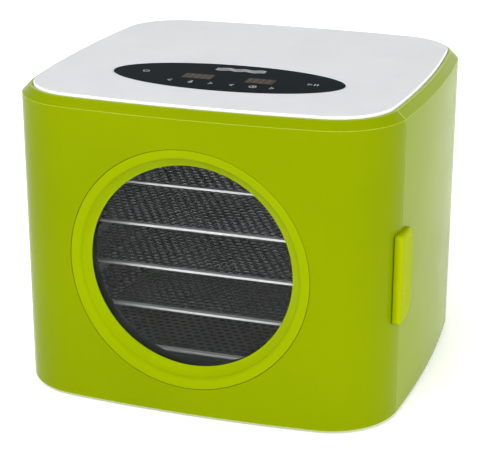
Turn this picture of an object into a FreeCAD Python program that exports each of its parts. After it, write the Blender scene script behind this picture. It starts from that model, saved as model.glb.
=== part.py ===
import FreeCAD, Part
import math
import os
import re
import Sketcher

# Food dehydrator with a glazed front door, five trays and a rear fan heater.
# Millimetres. +Z is up, +X is to the right of a person facing the door, and the
# door looks along -Y. The origin is on the table, under the middle of the body.

DIMENSIONS = [
    # alias, value, what it is
    ("body_width", 340, "overall width of the moulded body"),
    ("body_depth", 325, "overall depth, front crown to rear crown"),
    ("foot_height", 3, "bottom edge of the body above the table"),
    ("wall_top", 259, "top of the upright walls"),
    ("bevel", 7, "45 degree bevel above the walls"),
    ("rim", 9, "recess for the top cover, inside the body's outline"),
    ("cover_proud", 2, "top cover above the bevel"),
    ("face_radius", 1180, "bulge radius of the front and the back"),
    ("side_radius", 1090, "bulge radius of the sides"),
    ("corner_radius", 61, "rounding of the four upright corners"),
    ("wall", 3, "thickness of the moulded shells"),
    ("fit_gap", 0.3, "gap between pieces that slip together"),
    ("seam", 105, "door seam, in front of the middle plane"),
    ("seam_gap", 0.4, "half of the gap at the door seam"),
    ("cover_gap", 0.8, "dark gap round the top cover"),
    ("deck_top", 260, "top face of the housing deck"),
    ("cover_skin", 2.8, "thickness of the top cover"),
    ("cover_edge", 1.2, "rounding of the top cover's upper edge"),
    ("panel_major", 103.3, "half width of the control glass"),
    ("panel_minor", 45, "half depth of the control glass"),
    ("panel_back", 57, "centre of the control glass, in front of the middle plane"),
    ("panel_glass", 2, "thickness of the control glass and the depth of its seat"),
    ("glass_sunk", 0.15, "control glass below the top of the cover"),
    ("board_half", 82, "half width of the control board"),
    ("board_depth", 31, "half depth of the control board"),
    ("board_rise", 1.2, "height of the control board over the deck"),
    ("board_sheet", 1.6, "thickness of the control board"),
    ("display_front", 10, "displays, in front of the control glass's centre"),
    ("display_rear", 4.5, "displays, behind the control glass's centre"),
    ("window_z", 130.5, "height of the window's centre"),
    ("ring_radius", 104, "outer radius of the window ring"),
    ("window_radius", 87.5, "radius of the clear window opening"),
    ("window_inset", 11, "window opening behind the front crown"),
    ("ring_lip", 1.2, "thickness of the ring's lip in front of the gasket"),
    ("gasket", 1, "thickness of the window gasket"),
    ("pane", 3, "thickness of the window glass"),
    ("pane_radius", 93.5, "radius of the window glass"),
    ("retainer_wall", 1.5, "thickness of the tube that holds the window glass"),
    ("liner_face", 138, "inner face of the door liner, in front of the middle plane"),
    ("liner", 2.5, "thickness of the door liner"),
    ("frame_face", 134, "face of the front frame, in front of the middle plane"),
    ("frame_half", 142, "half width of the front frame"),
    ("frame_low", 6.6, "underside of the front frame"),
    ("chamber_half", 136, "half width of the drying chamber"),
    ("chamber_low", 24, "bottom of the chamber mouth"),
    ("chamber_high", 232, "top of the chamber mouth"),
    ("chamber_back", 98, "front face of the rear baffle"),
    ("sheet", 1, "thickness of the chamber's sheet panels"),
    ("tray_half", 134, "half width of a tray"),
    ("tray_front", 115, "front edge of a tray, in front of the middle plane"),
    ("tray_back", 95, "rear edge of a tray, behind the middle plane"),
    ("tray_first", 35.6, "underside of the lowest tray"),
    ("tray_pitch", 37.5, "spacing of the trays"),
    ("tray_height", 3, "height of a tray's hemmed rim"),
    ("tray_sheet", 0.6, "thickness of a tray's perforated sheet"),
    ("tray_hem", 3, "width of a tray's hem"),
    ("rail_width", 7, "width of a tray rail"),
    ("rail_height", 3, "height of a tray rail"),
    ("rail_gap", 0.2, "gap under a tray"),
    ("fan_z", 130, "height of the fan's axis"),
    ("shaft_radius", 2.5, "radius of the motor shaft"),
    ("running_gap", 0.05, "radial clearance of a turning shaft"),
    ("hub_radius", 16, "radius of the fan hub"),
    ("hub_front", 110, "front of the fan hub"),
    ("hub_rear", 121, "back of the fan hub"),
    ("blade_tip", 58, "radius of the fan's blade tips"),
    ("blade_width", 15, "width of a fan blade"),
    ("blade_sheet", 1.6, "thickness of a fan blade"),
    ("shroud_radius", 66, "outer radius of the fan shroud"),
    ("shroud_rear", 122, "back of the fan shroud"),
    ("motor_radius", 28, "radius of the motor can"),
    ("motor_front", 124, "front of the motor can"),
    ("motor_rear", 146, "back of the motor can"),
    ("bracket_half", 80, "half width of the motor bracket"),
    ("bracket_tall", 12, "half height of the motor bracket"),
    ("bracket_sheet", 2, "thickness of the motor bracket"),
    ("coil_radius", 46, "radius of the heating coil's ring"),
    ("coil_tube", 2.2, "radius of the heating coil's tube"),
    ("coil_lead", 1.6, "radius of the heating coil's ends"),
    ("coil_y", 104.5, "heating coil, behind the middle plane"),
    ("slot_half", 38, "half length of a slot in the rear baffle"),
    ("slot_spread", 86, "sideways spacing of the slots in the rear baffle"),
    ("slot_rise", 6, "height of a slot in the rear baffle"),
    ("slot_lift", 14, "slots in the rear baffle, above a tray's underside"),
    ("probe_x", 110, "temperature probe, right of the middle plane"),
    ("probe_z", 216, "height of the temperature probe"),
    ("probe_radius", 2, "radius of the temperature probe"),
    ("hinge_x", 165.3, "hinge axis, left of the middle plane"),
    ("hinge_y", 104.5, "hinge axis, in front of the middle plane"),
    ("hinge_low", 60, "height of the lower hinge's middle"),
    ("hinge_high", 205, "height of the upper hinge's middle"),
    ("barrel_radius", 2.3, "radius of a hinge knuckle"),
    ("pin_radius", 1, "radius of a hinge pin"),
    ("leaf_in", 5, "hinge leaves, inside the hinge axis"),
    ("leaf_sheet", 1.5, "thickness of a hinge leaf"),
    ("notch_in", 6.9, "depth of a hinge notch, inside the hinge axis"),
    ("hinge_half", 20, "half height of a hinge"),
    ("knuckle_half", 8, "half height of a door knuckle"),
    ("grip_low", 89, "bottom of the door tab"),
    ("grip_high", 166, "top of the door tab"),
    ("grip_front", 119, "front edge of the door tab, in front of the middle plane"),
    ("grip_rear", 82, "rear edge of the door tab, in front of the middle plane"),
    ("grip_face", 169.8, "outer face of the door tab"),
    ("grip_blank", 14, "thickness of the door tab before the body is taken away"),
    ("grip_round", 14, "rounding of the door tab's rear corners"),
    ("seal_half", 142, "half width of the door seal"),
    ("seal_low", 18.5, "bottom of the door seal"),
    ("seal_high", 240.5, "top of the door seal"),
    ("seal_width", 4, "width of the door seal"),
    ("catch_near", 112, "near end of a magnetic catch"),
    ("catch_far", 136, "far end of a magnetic catch"),
    ("catch_half", 4, "half height of a magnetic catch"),
    ("catch_low", 14, "height of the lower catch and the lower liner screws"),
    ("catch_high", 247, "height of the upper catch and the upper liner screws"),
    ("cover_half", 118, "half width of the rear cover"),
    ("cover_low", 32, "bottom of the rear cover"),
    ("cover_high", 228, "top of the rear cover"),
    ("ledge_front", 147, "front of the ledge behind the rear cover"),
    ("ledge_rear", 149, "back of the ledge behind the rear cover"),
    ("rear_head", 3.5, "outer face of the rear screws, in from the rear crown"),
    ("vent_half", 55, "half length of the vents in the rear cover"),
    ("vent_rise", 4, "height of a vent in the rear cover"),
    ("vent_pitch", 10, "spacing of the vents in the rear cover"),
    ("inlet_x", 76, "mains inlet, left of the middle plane"),
    ("inlet_z", 16.8, "height of the mains inlet's middle"),
    ("socket_half", 12, "half width of the mains inlet's socket"),
    ("socket_tall", 6.5, "half height of the mains inlet's socket"),
    ("inlet_rim", 3.7, "flange round the socket, at the sides"),
    ("inlet_brow", 2.2, "flange round the socket, above and below"),
    ("inlet_front", 136, "front of the mains inlet"),
    ("foot_radius", 9, "radius of a rubber foot"),
    ("foot_x", 125, "feet, each side of the middle plane"),
    ("foot_y", 88, "feet, in front of and behind the middle plane"),
    ("screw_shank", 1.4, "shank radius of the screws"),
    ("screw_head", 3, "head radius of the screws"),
]

doc = FreeCAD.newDocument("FoodDehydrator")
sheet = doc.addObject("Spreadsheet::Sheet", "Dims")
for row, (alias, value, meaning) in enumerate(DIMENSIONS, 1):
    sheet.set("A%d" % row, str(value))
    sheet.setAlias("A%d" % row, alias)
    sheet.set("B%d" % row, meaning)
doc.recompute()
ALIASES = {alias for alias, value, meaning in DIMENSIONS}

# Places worked out from the driving dimensions, as spreadsheet expressions.
TOP = "(wall_top + bevel)"
CROWN = "(-body_depth / 2)"
DOOR_EDGE = "(-seam - seam_gap)"
HOUSING_EDGE = "(-seam + seam_gap)"
COVER_TOP = "(wall_top + bevel + cover_proud)"
COVER_UNDER = "(wall_top + bevel + cover_proud - cover_skin)"
GLASS_UNDER = "(wall_top + bevel + cover_proud - panel_glass)"
GASKET_FACE = "(window_inset + ring_lip - body_depth / 2)"
PANE_FACE = "(window_inset + ring_lip + gasket - body_depth / 2)"
PANE_BACK = "(window_inset + ring_lip + gasket + pane - body_depth / 2)"
RETAINER_END = "(7 - liner_face)"
LINER_FRONT = "(-liner_face - liner)"
FRAME_BACK = "(-frame_face + wall)"
HINGES = ("hinge_low", "hinge_high")
CATCHES = ("catch_low", "catch_high")
LEAF = ("-hinge_x + leaf_in", "-hinge_x + leaf_in + leaf_sheet")
TRAYS = 5
VENTS = 11
BLADES = 5
BLADE_TILT = 35


def dims(text):
    """Point every alias in an expression at the spreadsheet."""
    return re.sub(r"[a-z_]+", lambda m: "Dims." + m.group() if m.group() in ALIASES else m.group(), text)


def size(text):
    """The number that an expression gives, for places that a loop works out."""
    return float(sheet.evalExpression(dims(text)))


def bind(obj, **sizes):
    for name, text in sizes.items():
        obj.setExpression(name, dims(str(text)))


def place(obj, x=0, y=0, z=0):
    for axis, text in zip("xyz", (x, y, z)):
        obj.setExpression("Placement.Base." + axis, dims(str(text)))


def box(name, x, y, z):
    """A block between two expressions along each axis."""
    obj = doc.addObject("Part::Box", name)
    spans = ["(%s) - (%s)" % (high, low) for low, high in (x, y, z)]
    bind(obj, Length=spans[0], Width=spans[1], Height=spans[2])
    place(obj, x[0], y[0], z[0])
    return obj


TURNS = {
    "x": FreeCAD.Rotation(FreeCAD.Vector(0, 1, 0), 90),
    "y": FreeCAD.Rotation(FreeCAD.Vector(1, 0, 0), -90),
    "z": FreeCAD.Rotation(),
}


def along(obj, axis, start):
    """Lay a round primitive along an axis from its start point."""
    obj.Placement = FreeCAD.Placement(FreeCAD.Vector(), TURNS[axis])
    place(obj, *start)
    return obj


def cylinder(name, axis, radius, length, start):
    obj = doc.addObject("Part::Cylinder", name)
    bind(obj, Radius=radius, Height=length)
    return along(obj, axis, start)


def join(name, pieces):
    obj = doc.addObject("Part::MultiFuse", name)
    obj.Shapes = pieces
    return obj


def cut(name, base, tools):
    obj = doc.addObject("Part::Cut", name)
    obj.Base = base
    obj.Tool = tools[0] if len(tools) == 1 else join(name + "_tools", tools)
    return obj


def common(name, base, tool):
    obj = doc.addObject("Part::Common", name)
    obj.Base = base
    obj.Tool = tool
    return obj


def origin_plane(body, role):
    return next(item for item in body.Origin.OriginFeatures if item.Role == role)


def corner_centre(half_x, half_y, face, side, corner):
    """Centre of the corner arc that touches the front arc and the right-hand arc."""
    front = FreeCAD.Vector(0, face - half_y, 0)
    right = FreeCAD.Vector(half_x - side, 0, 0)
    way = right - front
    near, far = face - corner, side - corner
    reach = (near ** 2 - far ** 2 + way.Length ** 2) / (2 * way.Length)
    offset = math.sqrt(near ** 2 - reach ** 2)
    along_way = way * (1 / way.Length)
    across = FreeCAD.Vector(-along_way.y, along_way.x, 0)
    sides = [front + along_way * reach + across * offset * sign for sign in (1, -1)]
    return max(sides, key=lambda point: point.x - point.y)


def arc_between(centre, radius, start, end):
    """An arc about a centre, from the direction of one point round to another."""
    angles = [math.atan2(point.y - centre.y, point.x - centre.x) for point in (start, end)]
    circle = Part.Circle(centre, FreeCAD.Vector(0, 0, 1), radius)
    return Part.ArcOfCircle(circle, angles[0], angles[1])


def outline_sketch(body, inset, z):
    """The body's outline moved in by an inset: four bulging arcs and four corner arcs."""
    sketch = body.newObject("Sketcher::SketchObject", body.Name + "_outline")
    sketch.AttachmentSupport = [(origin_plane(body, "XY_Plane"), "")]
    sketch.MapMode = "FlatFace"
    sketch.setExpression("AttachmentOffset.Base.z", dims(z))
    half_x = size("body_width / 2 - (%s)" % inset)
    half_y = size("body_depth / 2 - (%s)" % inset)
    face = size("face_radius - (%s)" % inset)
    side = size("side_radius - (%s)" % inset)
    corner = size("corner_radius - (%s)" % inset)
    pivot = corner_centre(half_x, half_y, face, side, corner)
    mirror = [(1, -1), (1, 1), (-1, 1), (-1, -1)]
    pivots = [FreeCAD.Vector(pivot.x * mx, -pivot.y * my, 0) for mx, my in mirror]
    middles = [FreeCAD.Vector(0, face - half_y, 0), FreeCAD.Vector(half_x - side, 0, 0),
               FreeCAD.Vector(0, half_y - face, 0), FreeCAD.Vector(side - half_x, 0, 0)]
    for index in range(4):
        radius = face if index % 2 == 0 else side
        sketch.addGeometry(arc_between(middles[index], radius, pivots[index - 1], pivots[index]))
        after = middles[(index + 1) % 4]
        leave = pivots[index] * 2 - middles[index]
        arrive = pivots[index] * 2 - after
        sketch.addGeometry(arc_between(pivots[index], corner, leave, arrive))
    for arc in range(8):
        sketch.addConstraint(Sketcher.Constraint("Tangent", arc, 2, (arc + 1) % 8, 1))
    for index, alias in enumerate(("face_radius", "side_radius") * 2):
        sketch.addConstraint(Sketcher.Constraint("PointOnObject", 2 * index, 3, -2 if index % 2 == 0 else -1))
        for arc, name in ((2 * index, alias), (2 * index + 1, "corner_radius")):
            text = "%s - (%s)" % (name, inset)
            number = sketch.addConstraint(Sketcher.Constraint("Radius", arc, size(text)))
            sketch.setExpression("Constraints[%d]" % number, dims(text))
    reach_y = "face_radius - body_depth / 2"
    reach_x = "side_radius - body_width / 2"
    for arc, kind, text in ((0, "DistanceY", reach_y), (2, "DistanceX", "-(%s)" % reach_x),
                            (4, "DistanceY", "-(%s)" % reach_y), (6, "DistanceX", reach_x)):
        number = sketch.addConstraint(Sketcher.Constraint(kind, -1, 1, arc, 3, size(text)))
        sketch.setExpression("Constraints[%d]" % number, dims(text))
    return sketch


def edges_like(feature, test):
    return ["Edge%d" % (i + 1) for i, edge in enumerate(feature.Shape.Edges) if test(edge)]


def block(name, inset, low, high, bevel=None, rounding=None):
    """The body's outline moved in by an inset, raised between two heights."""
    body = doc.addObject("PartDesign::Body", name)
    sketch = outline_sketch(body, inset, low)
    doc.recompute()
    pad = body.newObject("PartDesign::Pad", name + "_pad")
    pad.Profile = sketch
    pad.setExpression("Length", dims("(%s) - (%s)" % (high, low)))
    doc.recompute()
    top = size(high)
    rim = edges_like(pad, lambda edge: edge.BoundBox.ZMin > top - 0.01)
    if bevel:
        slope = body.newObject("PartDesign::Chamfer", name + "_bevel")
        slope.Base = (pad, rim)
        slope.setExpression("Size", dims(bevel))
    if rounding:
        edge = body.newObject("PartDesign::Fillet", name + "_edge")
        edge.Base = (pad, rim)
        edge.setExpression("Radius", dims(rounding))
    return body


def behind(name, y):
    """Everything of the body behind a plane."""
    return box(name, ("-body_width", "body_width"), (y, "body_depth"), (0, TOP + " + 10"))


def ahead(name, y):
    """Everything of the body in front of a plane."""
    return box(name, ("-body_width", "body_width"), ("-body_depth", y), (0, TOP + " + 10"))


def window_disc(name, radius, front, back):
    return cylinder(name, "y", radius, "(%s) - (%s)" % (back, front), (0, front, "window_z"))


def oval_disc(name, major, minor, low, high):
    """An upright elliptical disc about the middle of the control glass."""
    rim = doc.addObject("Part::Ellipse", name + "_rim")
    bind(rim, MajorRadius=major, MinorRadius=minor)
    place(rim, 0, "-panel_back", low)
    disc = doc.addObject("Part::Extrusion", name)
    disc.Base = rim
    disc.DirMode = "Custom"
    disc.Dir = FreeCAD.Vector(0, 0, 1)
    disc.Solid = True
    disc.setExpression("LengthFwd", dims("(%s) - (%s)" % (high, low)))
    return disc


def screws(name, axis, points, head_length, shank_length, inward=1):
    """Round-headed screws; each point is the outer face of a head."""
    pieces = []
    for index, point in enumerate(points):
        start = list(point)
        shank = list(point)
        spot = "xyz".index(axis)
        if inward < 0:
            start[spot] = "(%s) - %s" % (point[spot], head_length)
            shank[spot] = "(%s) - %s - %s" % (point[spot], head_length, shank_length)
        else:
            shank[spot] = "(%s) + %s" % (point[spot], head_length)
        tag = "%s_%d" % (name, index)
        pieces.append(cylinder(tag + "_head", axis, "screw_head", head_length, start))
        pieces.append(cylinder(tag + "_shank", axis, "screw_shank", shank_length, shank))
    return join(name, pieces)


def screw_holes(name, axis, points, length):
    """Clearance holes for screws, centred on the given points."""
    holes = []
    for index, point in enumerate(points):
        start = list(point)
        spot = "xyz".index(axis)
        start[spot] = "(%s) - %s / 2" % (point[spot], length)
        holes.append(cylinder("%s_%d" % (name, index), axis, "screw_shank", length, start))
    return holes


def corners_of(x, y):
    return [(sx + x, sy + y) for sx in ("-", "") for sy in ("-", "")]


parts = []


def keep(obj, label):
    """Give a finished piece its own name and list it for export."""
    obj.Label = label
    parts.append(obj)
    return obj


# ---------------------------------------------------------------- moulded body
def hinge_notches(name, y_low, y_high):
    span = "(hinge_half + 0.7)"
    return [box("%s_%d" % (name, i), ("-body_width", "-hinge_x + notch_in"), (y_low, y_high),
                ("%s - %s" % (z, span), "%s + %s" % (z, span))) for i, z in enumerate(HINGES)]


def rear_opening(name, grow):
    return box(name, ("-cover_half - %s" % grow, "cover_half + %s" % grow),
               ("body_depth / 2 - 15", "body_depth"), ("cover_low - %s" % grow, "cover_high + %s" % grow))


def rear_ledge(name):
    """The frame inside the back wall that the rear cover is screwed to."""
    outer = box(name + "_outer", ("-cover_half - 6", "cover_half + 6"), ("ledge_front", "ledge_rear"),
                ("cover_low - 6", "cover_high + 6"))
    hole = box(name + "_hole", ("-cover_half + 9", "cover_half - 9"), ("ledge_front - 1", "ledge_rear + 1"),
               ("cover_low + 9", "cover_high - 9"))
    return cut(name, outer, [hole])


def inlet_span(grow):
    """How far the mains inlet's flange reaches, across and upright."""
    across = "socket_half + inlet_rim + " + grow
    upright = "socket_tall + inlet_brow + " + grow
    return (("-inlet_x - (%s)" % across, "-inlet_x + (%s)" % across),
            ("inlet_z - (%s)" % upright, "inlet_z + (%s)" % upright))


def housing_shell():
    outer = block("housing_outer", "0", "foot_height", TOP, bevel="bevel")
    inner = block("housing_inner", "wall", "foot_height - 1", "deck_top - wall")
    recess = block("housing_recess", "rim", "deck_top", TOP + " + 1")
    board_gap = box("housing_board_gap", (-60, 60), ("-panel_back - 20", "-panel_back + 20"),
                    ("deck_top - 5", TOP))
    across, upright = inlet_span("fit_gap")
    inlet_gap = box("housing_inlet_gap", across, ("inlet_front", "body_depth"), upright)
    tools = [inner, recess, ahead("housing_front_cut", HOUSING_EDGE),
             rear_opening("housing_rear_gap", "fit_gap"), board_gap, inlet_gap]
    tools += hinge_notches("housing_notch", "-seam - 5", "-seam + 5.5")
    keep(cut("housing_body", outer, tools), "housing_shell")


def rear_screw_points(y):
    return [(x, y, z) for x in ("-cover_half + 6", "cover_half - 6")
            for z in ("cover_low + 6", "cover_high - 6")]


def rear_cover():
    outer = block("rear_outer", "0", "foot_height", "wall_top")
    inner = block("rear_inner", "wall", "foot_height - 1", "wall_top + 1")
    skin = cut("rear_skin", outer, [inner])
    panel = common("rear_panel", skin, rear_opening("rear_window", "0"))
    rows = [box("vent_%d" % i, ("-vent_half", "vent_half"), ("ledge_front", "body_depth"),
                ("fan_z + %d * vent_pitch" % step, "fan_z + %d * vent_pitch + vent_rise" % step))
            for i, step in enumerate(range(-(VENTS // 2), VENTS // 2 + 1))]
    holes = screw_holes("rear_hole", "y", rear_screw_points("body_depth / 2 - 5"), 20)
    keep(cut("rear_cover_body", panel, rows + holes), "rear_cover")
    frame = rear_ledge("rear_frame_plate")
    holes = screw_holes("rear_frame_hole", "y", rear_screw_points("ledge_front"), 10)
    keep(cut("rear_frame_body", frame, holes), "rear_cover_frame")
    keep(screws("rear_screws_body", "y", rear_screw_points("body_depth / 2 - rear_head"), 1.5, 10.5, inward=-1),
         "rear_screws")


def top_cover():
    plate = block("cover_plate", "rim + cover_gap", "deck_top", COVER_TOP, rounding="cover_edge")
    hollow = block("cover_hollow", "rim + cover_gap + cover_skin", "deck_top - 1", COVER_UNDER)
    glass_seat = oval_disc("glass_seat", "panel_major + 0.2", "panel_minor + 0.2", GLASS_UNDER,
                           COVER_TOP + " + 1")
    glass_hole = oval_disc("glass_hole", "panel_major - 3", "panel_minor - 3", COVER_UNDER + " - 1", COVER_TOP)
    keep(cut("top_cover_body", plate, [hollow, glass_seat, glass_hole]), "top_cover")
    keep(oval_disc("glass_disc", "panel_major", "panel_minor", GLASS_UNDER, COVER_TOP + " - glass_sunk"),
         "control_glass")


def control_panel():
    board_low, board_high = "deck_top + board_rise", "deck_top + board_rise + board_sheet"
    corners = [("%s(board_half - 6)" % sx, "-panel_back %s (board_depth - 5)" % sy)
               for sx in ("-", "") for sy in ("+", "-")]
    plate = box("board_plate", ("-board_half", "board_half"),
                ("-panel_back - board_depth", "-panel_back + board_depth"), (board_low, board_high))
    holes = screw_holes("board_hole", "z", [(x, y, board_low) for x, y in corners], 8)
    keep(cut("board_body", plate, holes), "control_board")
    spacers = []
    for index, (x, y) in enumerate(corners):
        post = cylinder("spacer_%d" % index, "z", "screw_head", "board_rise", (x, y, "deck_top"))
        spacers.append(cut("spacer_ring_%d" % index, post, screw_holes("spacer_hole_%d" % index, "z",
                                                                      [(x, y, "deck_top")], 8)))
    keep(join("board_spacers_body", spacers), "board_spacers")
    pins = []
    for index, (x, y) in enumerate(corners):
        pins.append(cylinder("board_head_%d" % index, "z", 2.6, 1.2, (x, y, board_high)))
        pins.append(cylinder("board_shank_%d" % index, "z", "screw_shank", "board_rise + board_sheet",
                             (x, y, "deck_top")))
    keep(join("board_screws_body", pins), "board_screws")
    for name, low, high in (("temperature_display", -38, -12.5), ("timer_display", 18, 42)):
        keep(box(name + "_block", (low, high), ("-panel_back - display_front", "-panel_back + display_rear"),
                 (board_high, GLASS_UNDER + " - 0.2")), name)


def foot_points():
    return corners_of("foot_x", "foot_y")


def base():
    plate = common("base_sheet", block("base_block", "wall + fit_gap", "foot_height", "2 * foot_height"),
                   behind("base_behind", HOUSING_EDGE))
    holes = screw_holes("base_hole", "z", [(x, y, "foot_height") for x, y in foot_points()], 12)
    vents = [box("base_vent_%d" % i, (-40, 40), (118 + 6 * i, 121 + 6 * i), (0, 10)) for i in range(5)]
    keep(cut("base_body", plate, holes + vents), "base_plate")
    feet, pins = [], []
    for index, (x, y) in enumerate(foot_points()):
        disc = cylinder("foot_disc_%d" % index, "z", "foot_radius", "foot_height", (x, y, 0))
        well = cylinder("foot_well_%d" % index, "z", "screw_head + fit_gap", 1.6, (x, y, 0))
        shaft = cylinder("foot_shaft_%d" % index, "z", "screw_shank", "foot_height", (x, y, 0))
        feet.append(cut("foot_%d" % index, disc, [well, shaft]))
        pins.append((x, y, 0.4))
    keep(join("feet_body", feet), "rubber_feet")
    keep(screws("foot_screws_body", "z", pins, 1.2, 8), "foot_screws")


# ---------------------------------------------------------------- drying chamber
def front_frame():
    mass = box("frame_block", ("-frame_half", "frame_half"), ("-frame_face", HOUSING_EDGE),
               ("frame_low", "deck_top - 0.1"))
    hollow = box("frame_hollow", ("-frame_half + wall", "frame_half - wall"), (FRAME_BACK, 0),
                 ("frame_low + wall", "deck_top - 0.1 - wall"))
    mouth = box("frame_mouth", ("-chamber_half", "chamber_half"), ("-body_depth", 0),
                ("chamber_low", "chamber_high"))
    flange_block = block("frame_flange_block", "wall + fit_gap", "frame_low", "deck_top - wall - 0.1")
    flange = common("frame_flange", flange_block,
                    box("frame_flange_slab", ("-body_width", "body_width"), (HOUSING_EDGE, "-seam + wall"),
                        (0, TOP)))
    whole = join("frame_whole", [mass, flange])
    plates = [box("plate_gap_%d" % i, ("catch_near - running_gap", "catch_far + running_gap"),
                  ("-frame_face - 1", "-frame_face + 1"),
                  (z + " - catch_half - running_gap", z + " + catch_half + running_gap"))
              for i, z in enumerate(CATCHES)]
    leaves = [box("leaf_gap_%d" % i, ("-body_width", "-hinge_x + notch_in + 0.7"), ("-seam - 1", 0),
                  ("%s - hinge_half - 0.7" % z, "%s + hinge_half + 0.7" % z)) for i, z in enumerate(HINGES)]
    keep(cut("frame_body", whole, [hollow, mouth] + plates + leaves), "front_frame")
    strikes = [box("strike_%d" % i, ("catch_near", "catch_far"), ("-frame_face", "-frame_face + 1"),
                   (z + " - catch_half", z + " + catch_half")) for i, z in enumerate(CATCHES)]
    keep(join("strikes_body", strikes), "catch_plates")


def chamber():
    front, back = FRAME_BACK, "chamber_back"
    low, high = "chamber_low - sheet", "chamber_high + sheet"
    keep(box("left_wall_sheet", ("-chamber_half - sheet", "-chamber_half"), (front, back), (low, high)),
         "chamber_left_wall")
    keep(box("right_wall_sheet", ("chamber_half", "chamber_half + sheet"), (front, back), (low, high)),
         "chamber_right_wall")
    roof = box("roof_sheet", ("-chamber_half", "chamber_half"), (front, back), ("chamber_high", high))
    floor = box("floor_sheet", ("-chamber_half", "chamber_half"), (front, back), (low, "chamber_low"))
    keep(roof, "chamber_roof")
    keep(floor, "chamber_floor")
    for label, near, far in (("left_tray_rails", "-chamber_half", "-chamber_half + rail_width"),
                             ("right_tray_rails", "chamber_half - rail_width", "chamber_half")):
        strips = []
        for level in range(TRAYS):
            top = "tray_first + %d * tray_pitch - rail_gap" % level
            strips.append(box("%s_%d" % (label, level), (near, far), ("-tray_front + 4", "chamber_back"),
                              (top + " - rail_height", top)))
        keep(join(label + "_body", strips), label)
    baffle = box("baffle_sheet", ("-chamber_half - sheet", "chamber_half + sheet"),
                 ("chamber_back", "chamber_back + sheet"), (low, high))
    slots = []
    for level in range(TRAYS):
        for side in (-1, 0, 1):
            middle = "%d * slot_spread" % side
            bottom = "tray_first + slot_lift + %d * tray_pitch" % level
            slots.append(box("baffle_slot_%d_%d" % (level, side + 1),
                             (middle + " - slot_half", middle + " + slot_half"),
                             ("chamber_back - 1", "chamber_back + sheet + 1"),
                             (bottom, bottom + " + slot_rise")))
    probe_hole = cylinder("baffle_probe_hole", "y", "probe_radius + 0.2", 20,
                          ("probe_x", "chamber_back - 10", "probe_z"))
    keep(cut("baffle_body", baffle, slots + [probe_hole]), "rear_baffle")
    probe = [cylinder("probe_tip", "y", "probe_radius", 28, ("probe_x", "chamber_back - 18", "probe_z")),
             cylinder("probe_nut", "y", "2.5 * probe_radius", 4, ("probe_x", "chamber_back + 2", "probe_z"))]
    keep(join("probe_body", probe), "temperature_probe")


def rectangle(sketch, left, right, low, high):
    x0, x1, y0, y1 = (size(text) for text in (left, right, low, high))
    points = [FreeCAD.Vector(x, y, 0) for x, y in ((x0, y0), (x1, y0), (x1, y1), (x0, y1))]
    for index in range(4):
        sketch.addGeometry(Part.LineSegment(points[index], points[(index + 1) % 4]))
    for index in range(4):
        sketch.addConstraint(Sketcher.Constraint("Coincident", index, 2, (index + 1) % 4, 1))
        sketch.addConstraint(Sketcher.Constraint("Vertical" if index % 2 else "Horizontal", index))
    for kind, line, point, text in (("DistanceX", 0, 1, left), ("DistanceX", 0, 2, right),
                                    ("DistanceY", 0, 1, low), ("DistanceY", 2, 1, high)):
        index = sketch.addConstraint(Sketcher.Constraint(kind, -1, 1, line, point, size(text)))
        sketch.setExpression("Constraints[%d]" % index, dims(text))


def tray(level):
    """One steel tray: a thin sheet inside a hemmed rim."""
    name = "tray_%d" % (level + 1)
    body = doc.addObject("PartDesign::Body", name + "_body")
    base = "tray_first + %d * tray_pitch" % level
    previous = None
    for feature, shrink, height in (("rim", "0", base), ("well", "tray_hem", base + " + tray_sheet")):
        sketch = body.newObject("Sketcher::SketchObject", name + "_" + feature)
        sketch.AttachmentSupport = [(origin_plane(body, "XY_Plane"), "")]
        sketch.MapMode = "FlatFace"
        sketch.setExpression("AttachmentOffset.Base.z", dims(height))
        rectangle(sketch, "-tray_half + " + shrink, "tray_half - " + shrink,
                  "-tray_front + " + shrink, "tray_back - " + shrink)
        doc.recompute()
        if previous is None:
            previous = body.newObject("PartDesign::Pad", name + "_pad")
            previous.Profile = sketch
            previous.setExpression("Length", dims("tray_height"))
        else:
            pocket = body.newObject("PartDesign::Pocket", name + "_pocket")
            pocket.Profile = sketch
            pocket.Reversed = True
            pocket.setExpression("Length", dims("tray_height"))
        doc.recompute()
    keep(body, name)


# ---------------------------------------------------------------- fan and heater
def fan_disc(name, radius, low, high, x=0, z="fan_z"):
    return cylinder(name, "y", radius, "(%s) - (%s)" % (high, low), (x, low, z))


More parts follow.
